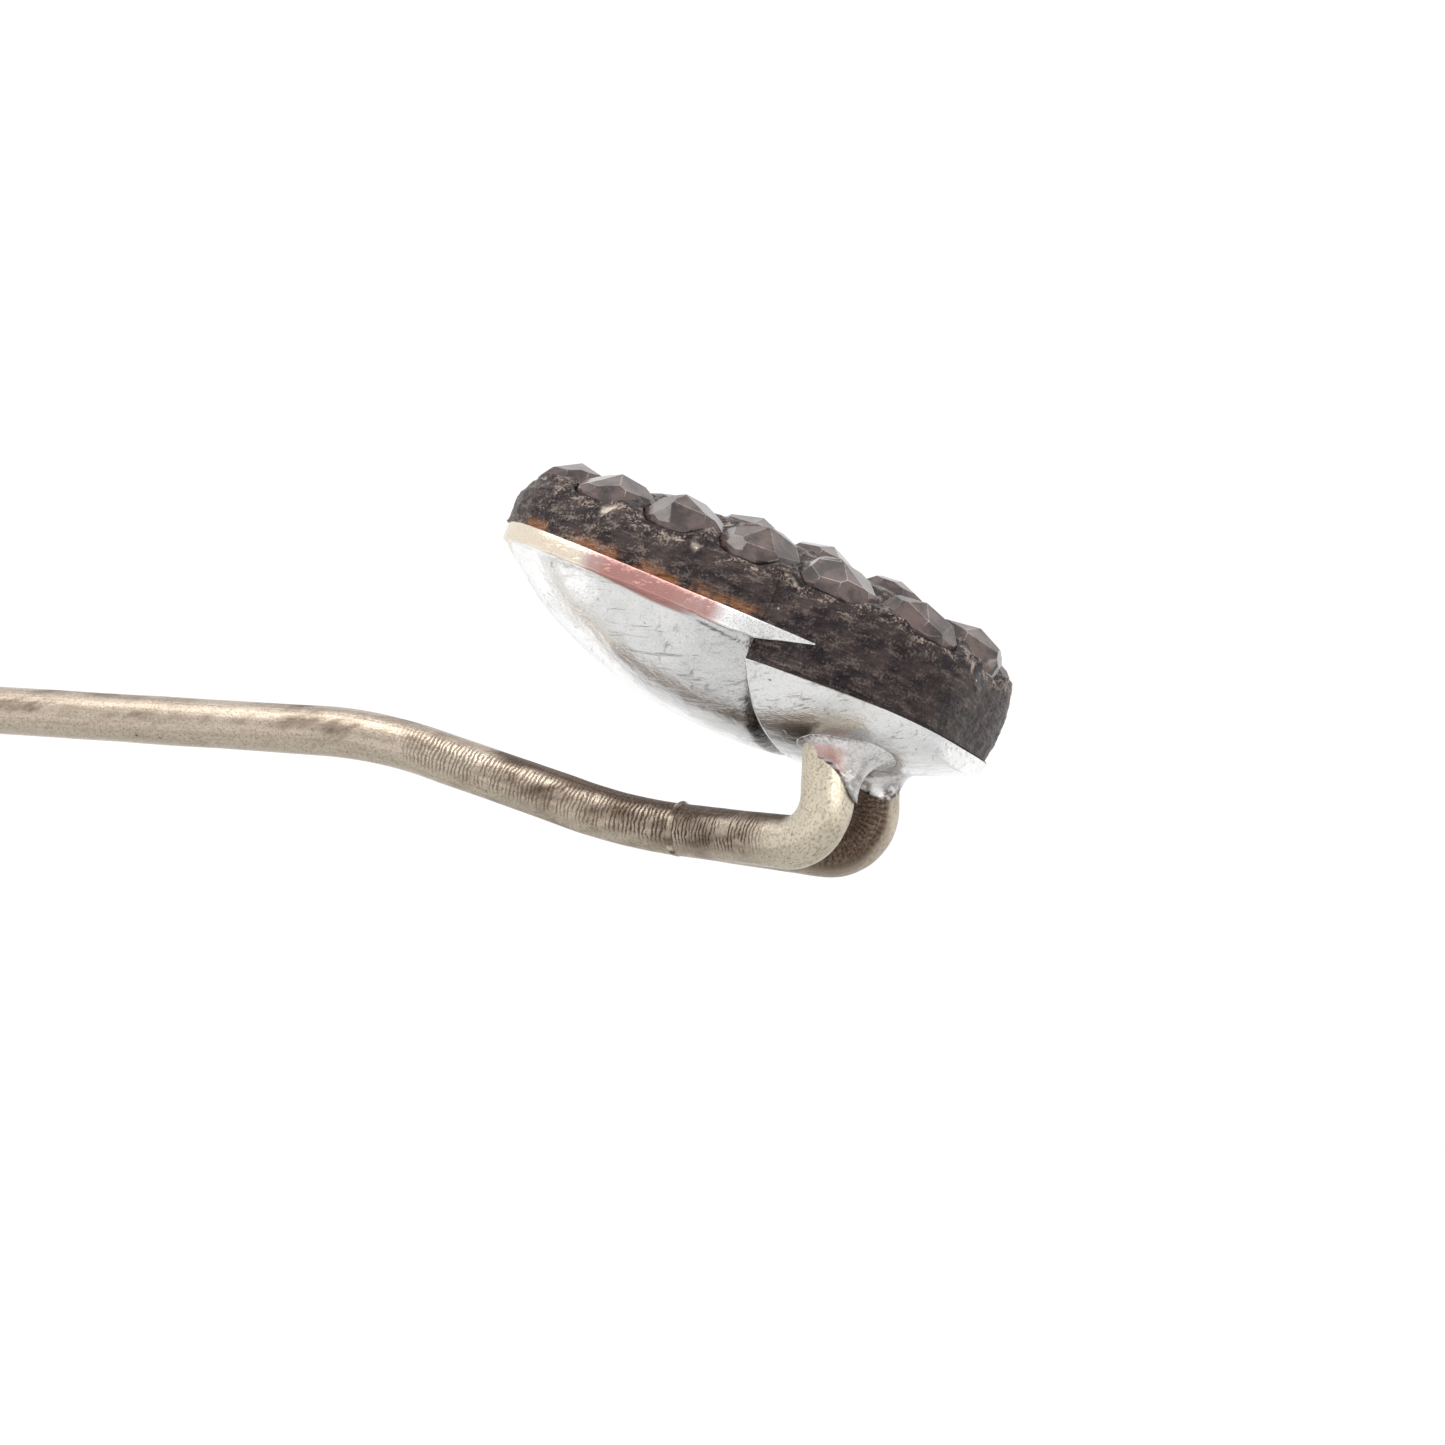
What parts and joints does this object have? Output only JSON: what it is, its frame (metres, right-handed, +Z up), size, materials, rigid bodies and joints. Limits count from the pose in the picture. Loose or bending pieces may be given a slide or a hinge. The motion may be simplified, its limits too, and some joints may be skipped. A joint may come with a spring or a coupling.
{
  "type": "hat pin",
  "caption": "Short hat pin: a pointed wire shank with a dipped neck and a soldered two-leg fork that carries an oval closed-back head of rose-cut stones.",
  "frame": {"origin": "on the shank's centreline, where the straight shank ends and the dipped neck starts", "axes": "-X runs along the shank to the point, +X towards the head, +Z up on the stones' side, +Y to the far leg of the fork"},
  "size_m": [0.0871, 0.0087, 0.0089],
  "materials": {
    "wire": "warm white-metal wire, drawn and filed, with file marks near the fork",
    "solder": "dull grey solder, pitted",
    "oxidised_silver": "blackened silver, rubbed on the high spots",
    "bright_silver": "hand-polished silver with fine scratches",
    "foil": "tarnished foil",
    "stone": "smoky, rose cut, flat facets"
  },
  "bodies": {
    "root": {"shank": "wire", "near_leg": "wire", "far_leg": "wire", "fork_solder": "solder", "near_solder": "solder", "far_solder": "solder", "frame": "oxidised_silver", "front_shell": "bright_silver", "back_plate": "bright_silver", "step_wall": "oxidised_silver", "foils": "foil", "ring_stone_1": "stone", "ring_stone_2": "stone", "ring_stone_3": "stone", "ring_stone_4": "stone", "ring_stone_5": "stone", "ring_stone_6": "stone", "ring_stone_7": "stone", "ring_stone_8": "stone", "ring_stone_9": "stone", "ring_stone_10": "stone", "ring_stone_11": "stone", "ring_stone_12": "stone", "ring_stone_13": "stone", "ring_stone_14": "stone", "row_stone_1": "stone", "row_stone_2": "stone", "row_stone_3": "stone", "row_stone_4": "stone", "small_stone_1": "stone", "small_stone_2": "stone", "small_stone_3": "stone", "small_stone_4": "stone", "small_stone_5": "stone", "small_stone_6": "stone"}
  },
  "joints": []
}
